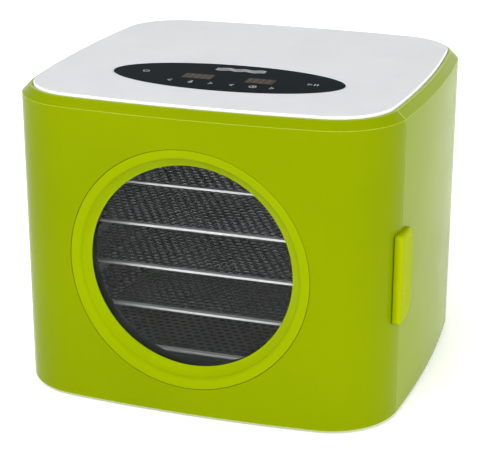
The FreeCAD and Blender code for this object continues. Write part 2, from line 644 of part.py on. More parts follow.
def fan_heater():
    ring = fan_disc("shroud_outer", "shroud_radius", "chamber_back + sheet", "shroud_rear")
    hollow = fan_disc("shroud_inner", "shroud_radius - 2", "chamber_back", "shroud_rear + 1")
    shroud = cut("shroud_tube", ring, [hollow])
    keep(shroud, "fan_shroud")
    coil = doc.addObject("Part::Torus", "coil_ring")
    bind(coil, Radius1="coil_radius", Radius2="coil_tube")
    along(coil, "y", (0, "coil_y", "fan_z"))
    ends = [cylinder("coil_end_%d" % i, "z", "coil_lead", 18, (x, "coil_y", "fan_z + coil_radius - 1.5"))
            for i, x in enumerate((-8, 8))]
    spots = (("-coil_radius", "fan_z"), ("coil_radius", "fan_z"), ("0", "fan_z - coil_radius"))
    holder = [box("coil_clamp_%d" % i, (x + " - 3", x + " + 3"), ("chamber_back + sheet", "coil_y + 3.5"),
                  (z + " - 5", z + " + 5")) for i, (x, z) in enumerate(spots)]
    keep(join("coil_body", [coil] + ends), "heating_coil")
    keep(cut("coil_clamps_body", join("coil_clamps_blocks", holder), [coil]), "coil_clamps")
    keep(cylinder("fuse_barrel", "x", 2.5, 10, (-5, "coil_y", "fan_z + coil_radius + 8")), "thermal_fuse")
    keep(fan_disc("shaft_rod", "shaft_radius", "hub_front - 3", "motor_rear - 6"), "motor_shaft")
    can = fan_disc("motor_can", "motor_radius", "motor_front", "motor_rear")
    bore = fan_disc("motor_bore", "shaft_radius + running_gap", "hub_rear - 1", "motor_rear - 4")
    boss = fan_disc("motor_boss", 9, "motor_front - 1.7", "motor_front")
    spots = [("-motor_radius + 8", "motor_rear + bracket_sheet", "fan_z"),
             ("motor_radius - 8", "motor_rear + bracket_sheet", "fan_z")]
    holes = screw_holes("motor_hole", "y", spots, 14)
    keep(cut("motor_body", join("motor_blank", [can, boss]), [bore] + holes), "fan_motor")
    pieces = [fan_disc("hub_disc", "hub_radius", "hub_front", "hub_rear")]
    for index in range(BLADES):
        blade = doc.addObject("Part::Box", "blade_%d" % index)
        bind(blade, Length="blade_tip - hub_radius + 3", Width="blade_width", Height="blade_sheet")
        radial = FreeCAD.Rotation(FreeCAD.Vector(0, 1, 0), 360 * index / BLADES)
        pitched = radial.multiply(FreeCAD.Rotation(FreeCAD.Vector(1, 0, 0), BLADE_TILT))
        corner = FreeCAD.Vector(size("hub_radius - 3"), size("-blade_width / 2"), size("-blade_sheet / 2"))
        middle = FreeCAD.Vector(0, size("(hub_front + hub_rear) / 2"), size("fan_z"))
        blade.Placement = FreeCAD.Placement(pitched.multVec(corner) + middle, pitched)
        pieces.append(blade)
    hub_bore = fan_disc("impeller_bore", "shaft_radius", "hub_front - 10", "hub_rear + 10")
    keep(cut("impeller_body", join("impeller_blank", pieces), [hub_bore]), "fan_impeller")
    rise = ("fan_z - bracket_tall", "fan_z + bracket_tall")
    outside = "motor_rear + bracket_sheet"
    bar = box("bracket_bar", ("-bracket_half", "bracket_half"), ("motor_rear", outside), rise)
    legs = [box("bracket_leg_%d" % i, (x, x + " + bracket_sheet"), ("chamber_back + sheet", outside), rise)
            for i, x in enumerate(("-bracket_half", "bracket_half - bracket_sheet"))]
    keep(cut("bracket_body", join("bracket_blank", [bar] + legs), screw_holes("bracket_hole", "y", spots, 10)),
         "motor_bracket")
    heads = [(x, y + " + 1.2", z) for x, y, z in spots]
    keep(screws("motor_screws_body", "y", heads, 1.2, 7, inward=-1), "motor_screws")


def power_parts():
    keep(box("power_board_sheet", (-126, -124.4), (102, 146), (44, 120)), "power_board")
    relay = box("relay_block", (-124.4, -108), (106, 122), (50, 66))
    capacitor = cylinder("capacitor_can", "x", 7, 20, (-124.4, 132, 62))
    transformer = box("transformer_block", (-124.4, -100), (106, 134), (84, 108))
    keep(join("power_parts_body", [relay, capacitor, transformer]), "power_components")
    across, upright = inlet_span("0")
    flange = box("inlet_flange", across, ("inlet_front", "body_depth / 2 - 4.2"), upright)
    well = box("inlet_well", ("-inlet_x - socket_half", "-inlet_x + socket_half"),
               ("inlet_front + 4.6", "body_depth"), ("inlet_z - socket_tall", "inlet_z + socket_tall"))
    places = (("-inlet_x - 7", "inlet_z - 1.5"), ("-inlet_x", "inlet_z + 1.5"),
              ("-inlet_x + 7", "inlet_z - 1.5"))
    pins = [box("inlet_pin_%d" % i, (x + " - 2", x + " + 2"), ("inlet_front - 2", "inlet_front + 15"),
                (z + " - 1", z + " + 1")) for i, (x, z) in enumerate(places)]
    keep(cut("inlet_body", flange, [well] + pins), "power_inlet")
    keep(join("inlet_pins_body", pins), "inlet_pins")


# ---------------------------------------------------------------- door
def door_shell():
    outer = block("door_outer", "0", "foot_height", TOP, bevel="bevel")
    inner = block("door_inner", "wall", "foot_height + wall", "wall_top + wall + 2", bevel="wall * 1.4142 + 2")
    cover_room = block("door_cover_room", "rim", "wall_top - 3", TOP + " + 1")
    tools = [inner, cover_room, behind("door_rear_cut", DOOR_EDGE),
             window_disc("door_hole", "ring_radius", "-body_depth", -120)]
    tools += hinge_notches("door_notch", "-seam - 5", "-seam + 5.5")
    keep(cut("door_body", outer, tools), "door_shell")


def window():
    drum = window_disc("ring_drum", "ring_radius - fit_gap", "-body_depth", PANE_BACK)
    bowed = common("ring_bowed", drum, block("ring_block", "0", "foot_height", "wall_top"))
    cone = doc.addObject("Part::Cone", "ring_cone")
    bind(cone, Radius1="ring_radius - 3", Radius2="window_radius", Height="window_inset")
    along(cone, "y", (0, CROWN, "window_z"))
    opening = window_disc("ring_opening", "window_radius", "-body_depth", 0)
    seat = window_disc("ring_seat", "pane_radius + fit_gap", GASKET_FACE, 0)
    keep(cut("ring_body", bowed, [cone, opening, seat]), "window_ring")
    band = window_disc("gasket_disc", "pane_radius", GASKET_FACE, PANE_FACE)
    keep(cut("gasket_body", band, [window_disc("gasket_hole", "window_radius + 1", "-body_depth", 0)]),
         "window_gasket")
    keep(window_disc("pane_disc", "pane_radius", PANE_FACE, PANE_BACK), "window_glass")
    tube = window_disc("retainer_tube", "pane_radius", PANE_BACK, RETAINER_END)
    flange = window_disc("retainer_flange", "pane_radius + 8", "-liner_face", "-liner_face + 2")
    bore = window_disc("retainer_bore", "pane_radius - retainer_wall", "-body_depth", 0)
    keep(cut("retainer_body", join("retainer_blank", [tube, flange]), [bore]), "window_retainer")


def liner_points(y):
    return [(x, y, z) for x in (-70, 0, 70) for z in CATCHES]


def door_inside():
    slab = common("liner_slab",
                  block("liner_block", "wall + 0.1", "foot_height + wall + 0.1", "wall_top - 3.2"),
                  box("liner_slice", ("-body_width", "body_width"), (LINER_FRONT, "-liner_face"), (0, TOP)))
    hole = window_disc("liner_hole", "pane_radius + fit_gap", "-body_depth", 0)
    holes = screw_holes("liner_screw_hole", "y", liner_points("-liner_face"), 12)
    keep(cut("liner_body", slab, [hole] + holes), "door_liner")
    outer = box("seal_outer", ("-seal_half", "seal_half"), ("-liner_face", "-frame_face - fit_gap"),
                ("seal_low", "seal_high"))
    inner = box("seal_inner", ("-seal_half + seal_width", "seal_half - seal_width"), ("-body_depth", 0),
                ("seal_low + seal_width", "seal_high - seal_width"))
    keep(cut("seal_body", outer, [inner]), "door_seal")
    keep(screws("liner_screws_body", "y", liner_points("-liner_face + 1.2"), 1.2, 9, inward=-1), "liner_screws")
    magnets = [box("magnet_%d" % i, ("catch_near", "catch_far"), ("-liner_face", "-frame_face - 0.5"),
                   (z + " - catch_half", z + " + catch_half")) for i, z in enumerate(CATCHES)]
    keep(join("magnets_body", magnets), "door_magnets")


def door_handle():
    """The finger tab on the right edge, which reaches back over the housing."""
    body = doc.addObject("PartDesign::Body", "grip_blank")
    sketch = body.newObject("Sketcher::SketchObject", "grip_outline")
    sketch.AttachmentSupport = [(origin_plane(body, "YZ_Plane"), "")]
    sketch.MapMode = "FlatFace"
    sketch.setExpression("AttachmentOffset.Base.z", dims("grip_face - grip_blank"))
    rectangle(sketch, "-grip_front", "-grip_rear", "grip_low", "grip_high")
    doc.recompute()
    pad = body.newObject("PartDesign::Pad", "grip_pad")
    pad.Profile = sketch
    pad.setExpression("Length", dims("grip_blank"))
    doc.recompute()
    rounding = body.newObject("PartDesign::Fillet", "grip_corners")
    middle = size("(grip_front + grip_rear) / -2")
    rear = lambda edge: edge.BoundBox.XLength > 10 and edge.BoundBox.YMin > middle
    rounding.Base = (pad, edges_like(pad, rear))
    rounding.setExpression("Radius", dims("grip_round"))
    doc.recompute()
    wall_room = block("grip_wall_room", "0", "foot_height", "wall_top")
    housing_room = common("grip_housing_room", block("grip_housing_block", "-0.8", "foot_height", "wall_top"),
                          behind("grip_behind", DOOR_EDGE + " - 0.5"))
    keep(cut("grip_body", body, [wall_room, housing_room]), "door_handle")


def hinges():
    fixed, moving, pins = [], [], []
    axis = ("-hinge_x", "-hinge_y")
    for index, z in enumerate(HINGES):
        half = "(hinge_half - knuckle_half - fit_gap)"
        low_ends = ("%s - hinge_half" % z, "%s + knuckle_half + fit_gap" % z)
        for end, low in enumerate(low_ends):
            tag = "%d_%d" % (index, end)
            high = "%s + %s" % (low, half)
            fixed.append(cylinder("fixed_barrel_" + tag, "z", "barrel_radius", half, axis + (low,)))
            fixed.append(box("fixed_link_" + tag, ("-hinge_x", LEAF[1]), (HOUSING_EDGE, "-seam + 4"),
                             (low, high)))
        fixed.append(box("fixed_leaf_%d" % index, LEAF, (HOUSING_EDGE, "-seam + 14"),
                         ("%s - hinge_half" % z, "%s + hinge_half" % z)))
        moving.append(cylinder("door_barrel_%d" % index, "z", "barrel_radius", "2 * knuckle_half",
                               axis + (z + " - knuckle_half",)))
        moving.append(box("door_link_%d" % index, ("-hinge_x", LEAF[1]), ("-seam - 4", DOOR_EDGE),
                          (z + " - knuckle_half", z + " + knuckle_half")))
        moving.append(box("door_leaf_%d" % index, LEAF, ("-seam - 5", DOOR_EDGE),
                          ("%s - hinge_half" % z, "%s + hinge_half" % z)))
        pins.append(cylinder("hinge_pin_%d" % index, "z", "pin_radius", "2 * hinge_half + 0.6",
                             axis + (z + " - hinge_half - 0.3",)))
    drill = lambda tag, radius: [cylinder("%s_%d" % (tag, i), "z", radius, "4 * hinge_half",
                                          axis + (z + " - 2 * hinge_half",)) for i, z in enumerate(HINGES)]
    keep(cut("fixed_hinge_body", join("fixed_hinge_blank", fixed), drill("fixed_drill", "pin_radius")),
         "hinge_fixed_leaves")
    keep(cut("door_hinge_body", join("door_hinge_blank", moving),
             drill("door_drill", "pin_radius + running_gap")), "hinge_door_leaves")
    keep(join("hinge_pins_body", pins), "hinge_pins")


housing_shell()
rear_cover()
top_cover()
control_panel()
base()
front_frame()
chamber()
for level in range(TRAYS):
    tray(level)
fan_heater()
power_parts()
door_shell()
window()
door_inside()
door_handle()
hinges()
doc.recompute()

# ---------------------------------------------------------------- check and write
for obj in doc.Objects:
    faults = [state for state in obj.State if state in ("Invalid", "Error")]
    if faults:
        raise RuntimeError("%s is %s" % (obj.Name, faults))
os.makedirs("parts", exist_ok=True)
for obj in parts:
    shape = obj.Shape
    if shape.isNull() or not shape.isValid() or shape.Volume <= 0:
        raise RuntimeError("%s has no valid shape" % obj.Label)
    shape.exportStep("parts/%s.step" % obj.Label)
    print("%-22s solids %2d volume %9.0f" % (obj.Label, len(shape.Solids), shape.Volume))
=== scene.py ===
import bpy
import bmesh
import math
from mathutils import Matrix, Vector


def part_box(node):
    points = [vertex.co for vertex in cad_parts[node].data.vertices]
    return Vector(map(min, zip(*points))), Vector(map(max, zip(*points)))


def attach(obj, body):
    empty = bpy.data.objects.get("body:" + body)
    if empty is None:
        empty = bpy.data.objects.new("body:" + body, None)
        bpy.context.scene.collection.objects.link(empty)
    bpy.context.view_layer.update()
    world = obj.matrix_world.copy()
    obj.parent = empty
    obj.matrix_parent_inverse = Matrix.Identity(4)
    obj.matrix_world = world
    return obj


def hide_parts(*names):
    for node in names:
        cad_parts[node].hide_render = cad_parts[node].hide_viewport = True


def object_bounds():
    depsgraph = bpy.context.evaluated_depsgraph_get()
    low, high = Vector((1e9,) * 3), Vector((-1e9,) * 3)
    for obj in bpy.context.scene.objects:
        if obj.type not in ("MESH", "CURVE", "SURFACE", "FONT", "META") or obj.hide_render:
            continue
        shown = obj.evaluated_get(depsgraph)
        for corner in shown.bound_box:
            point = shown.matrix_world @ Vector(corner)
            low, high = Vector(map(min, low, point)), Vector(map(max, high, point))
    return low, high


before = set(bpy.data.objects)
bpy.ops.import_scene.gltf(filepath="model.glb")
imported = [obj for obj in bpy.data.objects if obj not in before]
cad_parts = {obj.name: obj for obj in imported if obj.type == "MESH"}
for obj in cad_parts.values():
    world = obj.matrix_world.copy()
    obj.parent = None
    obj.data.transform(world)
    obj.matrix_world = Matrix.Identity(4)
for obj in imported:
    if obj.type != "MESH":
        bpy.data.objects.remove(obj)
CAD_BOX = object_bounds()
MM = 0.001


# ---------------------------------------------------------------- places read from the frame
GLASS_LOW, GLASS_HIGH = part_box("control_glass")
RING_LOW, RING_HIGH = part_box("window_ring")
GASKET_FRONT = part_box("window_gasket")[0].y
GRIP_LOW, GRIP_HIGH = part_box("door_handle")
TRAYS = ["tray_%d" % number for number in range(1, 6)]

WINDOW_Z = (RING_LOW.z + RING_HIGH.z) / 2
WALL_TOP = 259 * MM
CROWN_Y = CAD_BOX[0].y
RING_RADIUS = (RING_HIGH.z - RING_LOW.z) / 2
OPENING_RADIUS = 87.5 * MM
FACE_RADIUS = 1180 * MM          # bulge of the door's face
RING_SHOULDER = 97.5 * MM        # where the ring turns from its flat shoulder to its cone
RING_SLOPE = 0.10                # how far the shoulder has fallen, as a share of the ring's depth

GREEN_TONES = ((0.194, 0.257), (0.207, 0.272))      # red and green, of the dark and the light mottling
GREEN_TINT = (0.6, 0.85, 0.0)
# colour and reach of the painted highlight line along the green mouldings' edges
EDGE_HIGHLIGHT_GREEN = (0.42, 0.52, 0.07)
EDGE_HIGHLIGHT_REACH = 1.1 * MM
PANEL = Vector(((GLASS_LOW.x + GLASS_HIGH.x) / 2, (GLASS_LOW.y + GLASS_HIGH.y) / 2, GLASS_HIGH.z))


def face_y(x):
    """The door's bowed face, as the Y of its surface at an X."""
    return CROWN_Y + FACE_RADIUS - math.sqrt(FACE_RADIUS ** 2 - x ** 2)


# ---------------------------------------------------------------- camera and light
def add_camera():
    """A product shot from the front right, a little above the object."""
    azimuth, elevation = math.radians(18.7), math.radians(19.94)
    target, distance = Vector((-8.2 * MM, 0, 109 * MM)), 1413.5 * MM
    away = Vector((math.sin(azimuth) * math.cos(elevation), -math.cos(azimuth) * math.cos(elevation),
                   math.sin(elevation)))
    camera = bpy.data.objects.new("camera", bpy.data.cameras.new("camera"))
    camera.data.sensor_width = 36
    camera.data.lens = 116.2
    camera.data.clip_start = 0.05
    camera.location = target + away * distance
    camera.rotation_euler = away.to_track_quat("Z", "Y").to_euler()
    bpy.context.scene.collection.objects.link(camera)
    bpy.context.scene.camera = camera


def add_area(name, place, aim, size, power):
    light = bpy.data.lights.new(name, "AREA")
    light.shape = "RECTANGLE"
    light.size, light.size_y = size
    light.energy = power
    lamp = bpy.data.objects.new(name, light)
    lamp.location = place
    lamp.rotation_euler = (Vector(place) - Vector(aim)).to_track_quat("Z", "Y").to_euler()
    bpy.context.scene.collection.objects.link(lamp)


def add_world(horizon, overhead):
    """White surroundings that are bright at the horizon and dimmer overhead."""
    world = bpy.data.worlds.new("studio")
    world.use_nodes = True
    nodes, links = world.node_tree.nodes, world.node_tree.links
    place = nodes.new("ShaderNodeTexCoord")
    parts = nodes.new("ShaderNodeSeparateXYZ")
    links.new(place.outputs["Generated"], parts.inputs["Vector"])
    height = nodes.new("ShaderNodeMapRange")
    for key, value in (("From Min", 0.3), ("From Max", 0.6), ("To Min", horizon), ("To Max", overhead)):
        height.inputs[key].default_value = value
    links.new(parts.outputs["Z"], height.inputs["Value"])
    links.new(height.outputs["Result"], nodes["Background"].inputs["Strength"])
    nodes["Background"].inputs["Color"].default_value = (1, 1, 1, 1)
    bpy.context.scene.world = world


def add_studio():
    bpy.context.scene.view_settings.view_transform = "Standard"
    add_world(1.0, 0.3)
    middle = (0, 0, 0.13)
    add_area("key", (-0.35, -1.4, 1.7), middle, (1.2, 0.8), 30)
    add_area("fill", (1.8, -0.9, 0.8), middle, (0.5, 1.4), 15)
    add_area("top", (0.1, 0.3, 1.7), middle, (1.2, 1.2), 4)


# ---------------------------------------------------------------- material nodes
class Paint:
    """A node material being put together."""

    def __init__(self, name, **values):
        self.material = bpy.data.materials.new(name)
        self.material.use_nodes = True
        self.nodes = self.material.node_tree.nodes
        self.links = self.material.node_tree.links
        self.shader = self.nodes["Principled BSDF"]
        for key, value in values.items():
            self.shader.inputs[key.replace("_", " ")].default_value = value
        self.place = self.node("ShaderNodeTexCoord").outputs["Object"]

    def node(self, kind, **values):
        node = self.nodes.new(kind)
        for key, value in values.items():
            setattr(node, key, value)
        return node

    def link(self, source, target):
        self.links.new(source, target)

    def stretched(self, scale):
        mapping = self.node("ShaderNodeMapping")
        mapping.inputs["Scale"].default_value = scale
        self.link(self.place, mapping.inputs["Vector"])
        return mapping.outputs["Vector"]

    def noise(self, scale, detail=2.0, stretch=None, rough=0.5):
        node = self.node("ShaderNodeTexNoise")
        node.inputs["Scale"].default_value = scale
        node.inputs["Detail"].default_value = detail
        node.inputs["Roughness"].default_value = rough
        self.link(self.stretched(stretch) if stretch else self.place, node.inputs["Vector"])
        return node.outputs["Fac"]

    def cells(self, scale, feature="F1"):
        node = self.node("ShaderNodeTexVoronoi", feature=feature)
        node.inputs["Scale"].default_value = scale
        self.link(self.place, node.inputs["Vector"])
        return node.outputs["Distance"]

    def spread(self, source, low, high, from_low=0.3, from_high=0.7):
        node = self.node("ShaderNodeMapRange")
        limits = (("From Min", from_low), ("From Max", from_high), ("To Min", low), ("To Max", high))
        for key, value in limits:
            node.inputs[key].default_value = value
        self.link(source, node.inputs["Value"])
        return node.outputs["Result"]

    def blend(self, source, colour_a, colour_b, low=0.35, high=0.65):
        node = self.node("ShaderNodeMix", data_type="RGBA")
        node.inputs["A"].default_value = (*colour_a, 1)
        node.inputs["B"].default_value = (*colour_b, 1)
        self.link(self.spread(source, 0, 1, low, high), node.inputs["Factor"])
        return node.outputs["Result"]

    def colour(self, source, colour_a, colour_b, low=0.35, high=0.65):
        self.link(self.blend(source, colour_a, colour_b, low, high), self.shader.inputs["Base Color"])

    def paint_edge_highlight(self, colour, radius, away):
        """Paint a highlight along outside edges, where a moulding would catch the light.

        away is a socket that is 1 where the highlight is painted and 0 where it isn't.
        """
        bevel = self.node("ShaderNodeBevel", samples=8)
        bevel.inputs["Radius"].default_value = radius
        facet = self.node("ShaderNodeNewGeometry")
        match = self.node("ShaderNodeVectorMath", operation="DOT_PRODUCT")
        self.link(bevel.outputs["Normal"], match.inputs[0])
        self.link(facet.outputs["True Normal"], match.inputs[1])
        base = self.shader.inputs["Base Color"].links[0].from_socket
        node = self.node("ShaderNodeMix", data_type="RGBA")
        share = self.node("ShaderNodeMath", operation="MULTIPLY")
        self.link(self.spread(match.outputs["Value"], 1, 0, 0.93, 0.995), share.inputs[0])
        self.link(away, share.inputs[1])
        self.link(share.outputs["Value"], node.inputs["Factor"])
        self.link(base, node.inputs["A"])
        node.inputs["B"].default_value = (*colour, 1)
        self.link(node.outputs["Result"], self.shader.inputs["Base Color"])

    def outside_window(self):
        """1 outside the window ring's circle, 0 inside it."""
        spot = self.node("ShaderNodeVectorMath", operation="MULTIPLY_ADD")
        spot.inputs[1].default_value = (1, 0, 1)
        spot.inputs[2].default_value = (0, 0, -WINDOW_Z)
        self.link(self.place, spot.inputs[0])
        reach = self.node("ShaderNodeVectorMath", operation="LENGTH")
        self.link(spot.outputs["Vector"], reach.inputs[0])
        return self.spread(reach.outputs["Value"], 0, 1, RING_RADIUS + 4 * MM, RING_RADIUS + 6 * MM)

    def above(self, z):
        parts = self.node("ShaderNodeSeparateXYZ")
        self.link(self.place, parts.inputs["Vector"])
        return self.spread(parts.outputs["Z"], 0, 1, z, z + 1 * MM)

    def paint_highlight_sides(self, colour):
        """Paint a highlight on every face that doesn't look straight up."""
        facet = self.node("ShaderNodeNewGeometry")
        parts = self.node("ShaderNodeSeparateXYZ")
        self.link(facet.outputs["Normal"], parts.inputs["Vector"])
        base = self.shader.inputs["Base Color"].links[0].from_socket
        node = self.node("ShaderNodeMix", data_type="RGBA")
        self.link(self.spread(parts.outputs["Z"], 1, 0, 0.9, 0.99), node.inputs["Factor"])
        self.link(base, node.inputs["A"])
        node.inputs["B"].default_value = (*colour, 1)
        self.link(node.outputs["Result"], self.shader.inputs["Base Color"])

    def roughness(self, source, low, high):
        self.link(self.spread(source, low, high), self.shader.inputs["Roughness"])

    def glow(self, strength):
        self.shader.inputs["Emission Color"].default_value = (1, 1, 1, 1)
        self.shader.inputs["Emission Strength"].default_value = strength

    def bump(self, source, depth, strength=1.0, round_edges=0.0):
        node = self.node("ShaderNodeBump")
        node.inputs["Strength"].default_value = strength
        node.inputs["Distance"].default_value = depth
        self.link(source, node.inputs["Height"])
        if round_edges:
            edge = self.node("ShaderNodeBevel", samples=6)
            edge.inputs["Radius"].default_value = round_edges
            self.link(edge.outputs["Normal"], node.inputs["Normal"])
        self.link(node.outputs["Normal"], self.shader.inputs["Normal"])


def moulded_paint(name, colour_a, colour_b, rough, ior=1.5, edge=0.7 * MM, grain=0.02 * MM, scale=900,
                  tint=(1, 1, 1), gloss=0.5):
    """Moulded plastic: faint mottling, uneven gloss and a fine surface grain."""
    paint = Paint(name, IOR=ior, Specular_Tint=(*tint, 1), Specular_IOR_Level=gloss)
    paint.colour(paint.noise(7, 3), colour_a, colour_b)
    paint.roughness(paint.noise(28, 4), rough * 0.85, rough * 1.15)
    paint.bump(paint.noise(scale, 2), grain, 0.35, edge)
    return paint


def moulded_plastic(name, colour_a, colour_b, rough, **finish):
    """The finished material of a moulded_paint."""
    return moulded_paint(name, colour_a, colour_b, rough, **finish).material


def green_plastic(name, highlighted_edges=None, shade=1.0):
    """The body's green; highlighted_edges names the stretch of edges that gets a painted highlight line,
    and shade above 1 makes a lighter copy as painted light.
    """
    dark, light = [(red * shade, green * shade, 0.0003) for red, green in GREEN_TONES]
    paint = moulded_paint(name, dark, light, 0.22, ior=1.13, tint=GREEN_TINT)
    # painted highlight: along the door's edges outside the window ring, and along the housing's top
    # edges
    if highlighted_edges == "door":
        paint.paint_edge_highlight(EDGE_HIGHLIGHT_GREEN, EDGE_HIGHLIGHT_REACH, paint.outside_window())
    elif highlighted_edges == "housing":
        paint.paint_edge_highlight(EDGE_HIGHLIGHT_GREEN, EDGE_HIGHLIGHT_REACH, paint.above(WALL_TOP - 4 * MM))
    return paint.material


def worn_metal(name, colour_a, colour_b, rough, metallic=1.0, streak=(1, 1, 1), depth=0.01 * MM,
               edge=0.25 * MM):
    """Sheet metal with fine rolling marks along one axis and cloudy gloss."""
    paint = Paint(name, Metallic=metallic)
    lines = paint.noise(600, 3, streak)
    paint.colour(paint.noise(35, 4), colour_a, colour_b)
    paint.roughness(lines, rough * 0.7, rough * 1.3)
    paint.bump(lines, depth, 0.5, edge)
    return paint.material


def clear_glass():
    """Thin clear pane: see-through, with a reflection that grows at a slant and a few faint smears."""
    paint = Paint("window_clear")
    see = paint.node("ShaderNodeBsdfTransparent")
    see.inputs["Color"].default_value = (0.965, 0.975, 0.975, 1)
    gloss = paint.node("ShaderNodeBsdfGlossy")
    paint.link(paint.spread(paint.noise(45, 4), 0.01, 0.06), gloss.inputs["Roughness"])
    facing = paint.node("ShaderNodeFresnel")
    facing.inputs["IOR"].default_value = 1.25
    mix = paint.node("ShaderNodeMixShader")
    paint.link(facing.outputs["Fac"], mix.inputs["Fac"])
    paint.link(see.outputs["BSDF"], mix.inputs[1])
    paint.link(gloss.outputs["BSDF"], mix.inputs[2])
    paint.link(mix.outputs["Shader"], paint.nodes["Material Output"].inputs["Surface"])
    return paint.material


def unlit_display():
    """Unlit display behind the glass: dim smoked face with faint segment rows."""
    paint = Paint("display_face", Roughness=0.35, IOR=1.02)
    wave = paint.node("ShaderNodeTexWave", wave_type="BANDS", bands_direction="X")
    wave.inputs["Scale"].default_value = 55
    paint.link(paint.place, wave.inputs["Vector"])
    paint.colour(wave.outputs["Fac"], (0.05, 0.042, 0.034), (0.085, 0.07, 0.055))
    paint.bump(paint.noise(400), 0.01 * MM)
    return paint.material


def circuit_board():
    paint = Paint("circuit_board", Roughness=0.5)
    bricks = paint.node("ShaderNodeTexBrick")
    bricks.inputs["Scale"].default_value = 90
    bricks.inputs["Mortar Size"].default_value = 0.04
    bricks.inputs["Color1"].default_value = (0.02, 0.11, 0.045, 1)
    bricks.inputs["Color2"].default_value = (0.025, 0.13, 0.05, 1)
    bricks.inputs["Mortar"].default_value = (0.07, 0.25, 0.1, 1)
    paint.link(paint.place, bricks.inputs["Vector"])
    paint.link(bricks.outputs["Color"], paint.shader.inputs["Base Color"])
    paint.bump(bricks.outputs["Fac"], 0.05 * MM)
    return paint.material


def pale_floor():
    paint = Paint("studio_floor", Roughness=0.6)
    paint.colour(paint.noise(3, 3), (0.93, 0.93, 0.93), (0.95, 0.95, 0.95))
    paint.glow(0.35)
    return paint.material


def white_cover():
    paint = Paint("white_cover", IOR=1.3)
    paint.colour(paint.noise(7, 3), (0.50, 0.508, 0.525), (0.515, 0.523, 0.54))
    # painted highlight along the cover's rounded edges and sides: every face not looking straight up is
    # painted near white
    paint.paint_highlight_sides((0.95, 0.96, 0.93))
    paint.roughness(paint.noise(28, 4), 0.28, 0.38)
    paint.bump(paint.noise(900, 2), 0.02 * MM, 0.35)
    return paint.material


GREEN = green_plastic("green_plastic")
DOOR_GREEN = green_plastic("door_green", "door")
# painted light: the housing's copy of the green is painted 8% lighter than the door's, and the window
# ring's 22% lighter, standing in for the light they catch
LIT_HOUSING_GREEN = green_plastic("housing_green", "housing", 1.08)
LIT_RING_GREEN = green_plastic("ring_green", shade=1.22)
# painted light: the door tab's copy of the body green is painted lighter, standing in for the light on
# the tab
LIT_TAB_GREEN = moulded_plastic("tab_plastic", (0.31, 0.38, 0.0004), (0.33, 0.40, 0.0008), 0.3,
                      ior=1.06, tint=GREEN_TINT, gloss=0.1)
WHITE = white_cover()
BLACK_GLASS = moulded_plastic("panel_glass", (0.006, 0.009, 0.011), (0.008, 0.012, 0.014), 0.07,
                              ior=1.03, edge=0.4 * MM, grain=0.002 * MM, gloss=0.12)
DARK = moulded_plastic("dark_plastic", (0.020, 0.022, 0.023), (0.030, 0.033, 0.034), 0.5, scale=1500)
LINER = moulded_plastic("liner_plastic", (0.030, 0.034, 0.036), (0.042, 0.047, 0.049), 0.42)
RUBBER = moulded_plastic("rubber", (0.012, 0.012, 0.012), (0.022, 0.022, 0.022), 0.75, grain=0.05 * MM)
CLAMP = moulded_plastic("ceramic", (0.70, 0.66, 0.58), (0.78, 0.74, 0.68), 0.6)
CHAMBER = worn_metal("chamber_steel", (0.060, 0.068, 0.070), (0.080, 0.090, 0.093), 0.42, 0.8,
                     streak=(0.05, 1, 1))
# one tray steel in two copies: the punched sheet painted darker as painted shade from the dark chamber,
# the hem painted much lighter as painted light on the front hem
TRAY = worn_metal("tray_steel", (0.16, 0.185, 0.195), (0.235, 0.27, 0.285), 0.34,
                  streak=(1, 0.06, 1), edge=0)
LIT_HEM = worn_metal("tray_hem", (0.82, 0.83, 0.82), (0.89, 0.90, 0.89), 0.38, 0.45,
                 streak=(0.06, 1, 1), edge=0)
STEEL = worn_metal("plated_steel", (0.50, 0.50, 0.49), (0.60, 0.60, 0.58), 0.32)
BRASS = worn_metal("brass", (0.62, 0.45, 0.18), (0.72, 0.54, 0.24), 0.28)
HEATER = worn_metal("heater_wire", (0.22, 0.18, 0.16), (0.34, 0.30, 0.27), 0.5)
INK = moulded_plastic("panel_ink", (0.50, 0.52, 0.53), (0.58, 0.60, 0.61), 0.4,
                      ior=1.05, edge=0, grain=0.005 * MM)
RIM_LINE = moulded_plastic("panel_rim", (0.62, 0.65, 0.66), (0.70, 0.72, 0.73), 0.3, ior=1.05, edge=0)
DISPLAY_EDGE = moulded_plastic("display_edge", (0.07, 0.065, 0.055), (0.09, 0.08, 0.07), 0.3,
                               ior=1.02, edge=0)
DIGITS = moulded_plastic("display_digits", (0.075, 0.062, 0.05), (0.10, 0.085, 0.07), 0.3,
                         ior=1.02, edge=0)
CLEAR = clear_glass()
DISPLAY = unlit_display()
BOARD = circuit_board()

NODE_PAINT = {
    "housing_shell": LIT_HOUSING_GREEN, "door_shell": DOOR_GREEN, "top_cover": WHITE,
    "control_glass": BLACK_GLASS,
    "rear_cover": DARK, "rear_cover_frame": DARK, "base_plate": DARK, "front_frame": LINER,
    "door_liner": LINER, "window_retainer": LINER, "door_seal": RUBBER, "window_gasket": RUBBER,
    "rubber_feet": RUBBER, "window_glass": CLEAR,
    "temperature_display": DISPLAY, "timer_display": DISPLAY,
    "control_board": BOARD, "power_board": BOARD, "board_spacers": DARK, "power_components": DARK,
    "power_inlet": DARK, "inlet_pins": BRASS, "coil_clamps": CLAMP, "heating_coil": HEATER,
    "fan_impeller": DARK, "chamber_left_wall": CHAMBER, "chamber_right_wall": CHAMBER,
    "chamber_roof": CHAMBER, "chamber_floor": CHAMBER, "rear_baffle": CHAMBER,
    "left_tray_rails": CHAMBER, "right_tray_rails": CHAMBER, "hinge_fixed_leaves": GREEN,
    "hinge_door_leaves": GREEN,
}


def paint_cad_nodes():
    for name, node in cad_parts.items():
        node.data.materials.clear()
        node.data.materials.append(NODE_PAINT.get(name, STEEL))


